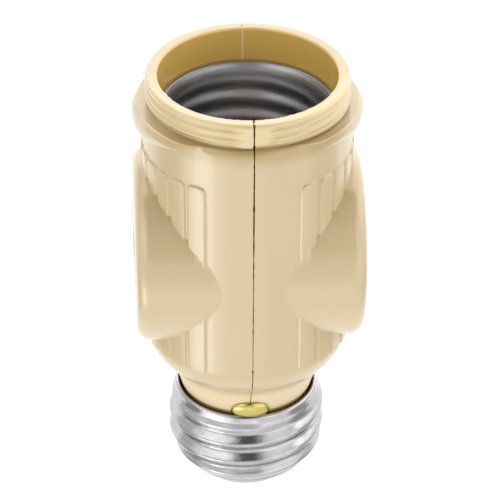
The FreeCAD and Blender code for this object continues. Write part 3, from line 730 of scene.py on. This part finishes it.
IVORY = ivory()
NICKEL = metal("bright_nickel", (0.345, 0.338, 0.352), (0.53, 0.522, 0.538), (0.07, 0.16), 170, (1, 1, 3), 0.32, 300)
ALUMINIUM = metal("satin_aluminium", (0.35, 0.37, 0.42), (0.435, 0.455, 0.50), (0.32, 0.44), 300, (1, 1, 6), 0.08)
BRASS = metal("polished_brass", (0.50, 0.42, 0.125), (0.60, 0.51, 0.17), (0.12, 0.20), 400, None, 0.05)
STRIP = metal("brass_strip", (0.70, 0.52, 0.22), (0.80, 0.62, 0.30), (0.25, 0.38), 500, None, 0.08)
BRONZE = metal("spring_bronze", (0.70, 0.42, 0.22), (0.80, 0.52, 0.30), (0.25, 0.38), 500, None, 0.08)
PLATED = metal("plated_rivet", (0.62, 0.62, 0.63), (0.72, 0.72, 0.73), (0.18, 0.28), 500, None, 0.08)
BLACK = matte("black_insulation", (0.018, 0.018, 0.018), (0.032, 0.031, 0.030), (0.30, 0.45), 600)
FIBRE = matte("grey_fibre", (0.16, 0.15, 0.135), (0.24, 0.22, 0.20), (0.65, 0.8), 900)


def paint(ob, mat):
    ob.data.materials.clear()
    ob.data.materials.append(mat)


paint(left, IVORY)
paint(right, IVORY)
paint(shell, NICKEL)
paint(socket, ALUMINIUM)
paint(rivet, BRASS)
LOOKS = {
    "base_insulator": BLACK, "base_center_contact": BRASS, "socket_insulator": FIBRE, "socket_center_contact": BRONZE,
    "center_contact_rivet": BRASS, "hot_strap": STRIP, "neutral_strap": STRIP, "hot_lead": STRIP, "neutral_lead": STRIP,
    "hot_clip_left": BRONZE, "hot_clip_right": BRONZE, "neutral_clip_left": BRONZE, "neutral_clip_right": BRONZE,
    "clip_rivets": BRASS, "lead_rivets": BRASS, "shell_rivets": BRASS, "case_rivet": PLATED}
for node, mat in LOOKS.items():
    ob = NODES[node]
    if ob.material_slots:
        for s in ob.material_slots:
            s.link = "OBJECT"
            s.material = mat

# ---------------------------------------------------------------------- camera
TURN = math.radians(3.85)
ELEV = math.radians(33.71)
ROLL = math.radians(0.37)
DIST, FOCAL = 0.5, 2910.5
ox = (246.1 - 250.0) / FOCAL * DIST
oy = (250.0 - 374.9) / FOCAL * DIST
f_dir = Vector((0, math.cos(ELEV), -math.sin(ELEV)))
u_dir = Vector((0, math.sin(ELEV), math.cos(ELEV)))
r_dir = Vector((1, 0, 0))
x_ax = r_dir * math.cos(ROLL) + u_dir * math.sin(ROLL)
y_ax = -r_dir * math.sin(ROLL) + u_dir * math.cos(ROLL)
eye = Vector((0, 0, 0.020)) - (x_ax * ox + y_ax * oy + f_dir * DIST)
mat = Matrix(((x_ax.x, y_ax.x, -f_dir.x, eye.x), (x_ax.y, y_ax.y, -f_dir.y, eye.y),
              (x_ax.z, y_ax.z, -f_dir.z, eye.z), (0, 0, 0, 1)))
mat = Matrix.Translation((0, 0, 0)) @ Matrix.Rotation(-TURN, 4, "Z") @ mat
cam = bpy.data.cameras.new("camera")
cam.sensor_width = 36.0
cam.sensor_fit = "HORIZONTAL"
cam.lens = FOCAL / 500.0 * 36.0
cam.clip_start, cam.clip_end = 0.01, 50.0
cam_ob = bpy.data.objects.new("camera", cam)
cam_ob.matrix_world = mat
bpy.context.scene.collection.objects.link(cam_ob)
bpy.context.scene.camera = cam_ob

# --------------------------------------------------------------- floor and sky
bm = bmesh.new()
bmesh.ops.create_circle(bm, cap_ends=True, segments=96, radius=6.0)
me = bpy.data.meshes.new("floor")
bm.to_mesh(me)
bm.free()
floor = bpy.data.objects.new("floor", me)
floor.location = (0, 0, -0.0002)
bpy.context.scene.collection.objects.link(floor)
m, nt, p = material("pale_floor")
n = noise_node(nt, 3, 2, 0.5)
c = ramp(nt, n.outputs["Fac"], [(0.3, (0.80, 0.80, 0.80)), (0.7, (0.82, 0.82, 0.82))])
nt.links.new(c.outputs[0], p.inputs["Base Color"])
p.inputs["Roughness"].default_value = 0.9
p.inputs["Emission Color"].default_value = (1, 1, 1, 1)
p.inputs["Emission Strength"].default_value = 0.75
paint(floor, m)
floor.visible_diffuse = False
floor.visible_glossy = False
floor.visible_shadow = False

dome = lathe("backdrop", [(8000 * math.cos(t), 8000 * math.sin(t)) for t in np.radians(np.linspace(-89, 89, 40))], 48)
m, nt, p = material("backdrop_white")
n = noise_node(nt, 1, 2, 0.5)
c = ramp(nt, n.outputs["Fac"], [(0.3, (0.99, 0.99, 0.99)), (0.7, (1, 1, 1))])
em = nt.nodes.new("ShaderNodeEmission")
nt.links.new(c.outputs[0], em.inputs[0])
nt.links.new(em.outputs[0], [x for x in nt.nodes if x.type == "OUTPUT_MATERIAL"][0].inputs[0])
paint(dome, m)
for flag in ("visible_diffuse", "visible_glossy", "visible_transmission", "visible_volume_scatter", "visible_shadow"):
    setattr(dome, flag, False)

# studio light: soft panels all round, described by direction
world = bpy.data.worlds.new("studio")
bpy.context.scene.world = world
world.use_nodes = True
nt = world.node_tree
nt.nodes.clear()
wout = nt.nodes.new("ShaderNodeOutputWorld")
bg = nt.nodes.new("ShaderNodeBackground")
nt.links.new(bg.outputs[0], wout.inputs[0])
tc = nt.nodes.new("ShaderNodeTexCoord")
rot = nt.nodes.new("ShaderNodeMapping")
rot.vector_type = "POINT"
rot.inputs["Rotation"].default_value = (0, 0, TURN)
nt.links.new(tc.outputs["Generated"], rot.inputs["Vector"])
sep = nt.nodes.new("ShaderNodeSeparateXYZ")
nt.links.new(rot.outputs[0], sep.inputs[0])


def wmath(op, a, b=None, clamp=False):
    n = nt.nodes.new("ShaderNodeMath")
    n.operation = op
    n.use_clamp = clamp
    for i, v in enumerate((a, b)):
        if v is None:
            continue
        if isinstance(v, (int, float)):
            n.inputs[i].default_value = v
        else:
            nt.links.new(v, n.inputs[i])
    return n.outputs[0]


neg_y = wmath("MULTIPLY", sep.outputs["Y"], -1.0)
azim = wmath("MULTIPLY", wmath("ARCTAN2", sep.outputs["X"], neg_y), 180 / math.pi)   # 0 towards the camera, + right
elev = wmath("MULTIPLY", wmath("ARCSINE", sep.outputs["Z"]), 180 / math.pi)


def window(v, lo, hi, soft):
    # 1 between lo and hi, soft at both ends
    def edge(a, b):
        m = nt.nodes.new("ShaderNodeMapRange")
        m.interpolation_type = "SMOOTHSTEP"
        m.inputs["From Min"].default_value = a
        m.inputs["From Max"].default_value = b
        nt.links.new(v, m.inputs["Value"])
        return m.outputs[0]
    up = edge(lo - soft, lo + soft)
    down = edge(hi - soft, hi + soft)
    return wmath("SUBTRACT", up, down)


# bands from the table up to the ceiling, each with soft-edged sectors: (azimuth from, to, strength)
BANDS = [
    ((-140, -45), [(-400, 400, 1.15)]),
    ((-45, -22), [(-75, -22, 1.95), (-22, 20, 1.50), (20, 75, 1.18), (75, 115, 0.50), (115, 240, 1.15),
                 (-115, -75, 0.40), (-240, -115, 1.15)]),
    ((-22, 10), [(-75, -22, 1.10), (-22, 20, 0.93), (20, 75, 1.60), (75, 112, 0.95), (112, 250, 1.45),
                (-112, -75, 0.85), (-250, -112, 1.40)]),
    ((10, 50), [(-75, -22, 1.85), (-22, 20, 0.17), (20, 75, 1.30), (75, 140, 1.90), (-140, -75, 0.80),
                (140, 220, 2.10), (-220, -140, 2.10)]),
    ((50, 140), [(-90, 90, 0.05), (90, 270, 2.05), (-270, -90, 2.05)]),
]
total = None
for (e0, e1), sectors in BANDS:
    row = None
    for a0, a1, k in sectors:
        t = wmath("MULTIPLY", window(azim, a0, a1, 15.0 if e0 == 10 and abs(a0 + a1) < 120 else 8.0), k)
        row = t if row is None else wmath("ADD", row, t)
    row = wmath("MULTIPLY", row, window(elev, e0, e1, 9.0))
    total = row if total is None else wmath("ADD", total, row)
# one narrow bright strip low on the left
strip = wmath("MULTIPLY", window(azim, -60, -37, 4.0), window(elev, -43, -25, 4.0))
total = wmath("ADD", total, wmath("MULTIPLY", strip, 1.8))
total = wmath("MAXIMUM", total, 0.02)
nt.links.new(total, bg.inputs["Strength"])
bg.inputs["Color"].default_value = (1, 1, 1, 1)

bpy.context.scene.view_settings.view_transform = "Standard"
bpy.context.scene.view_settings.look = "None"
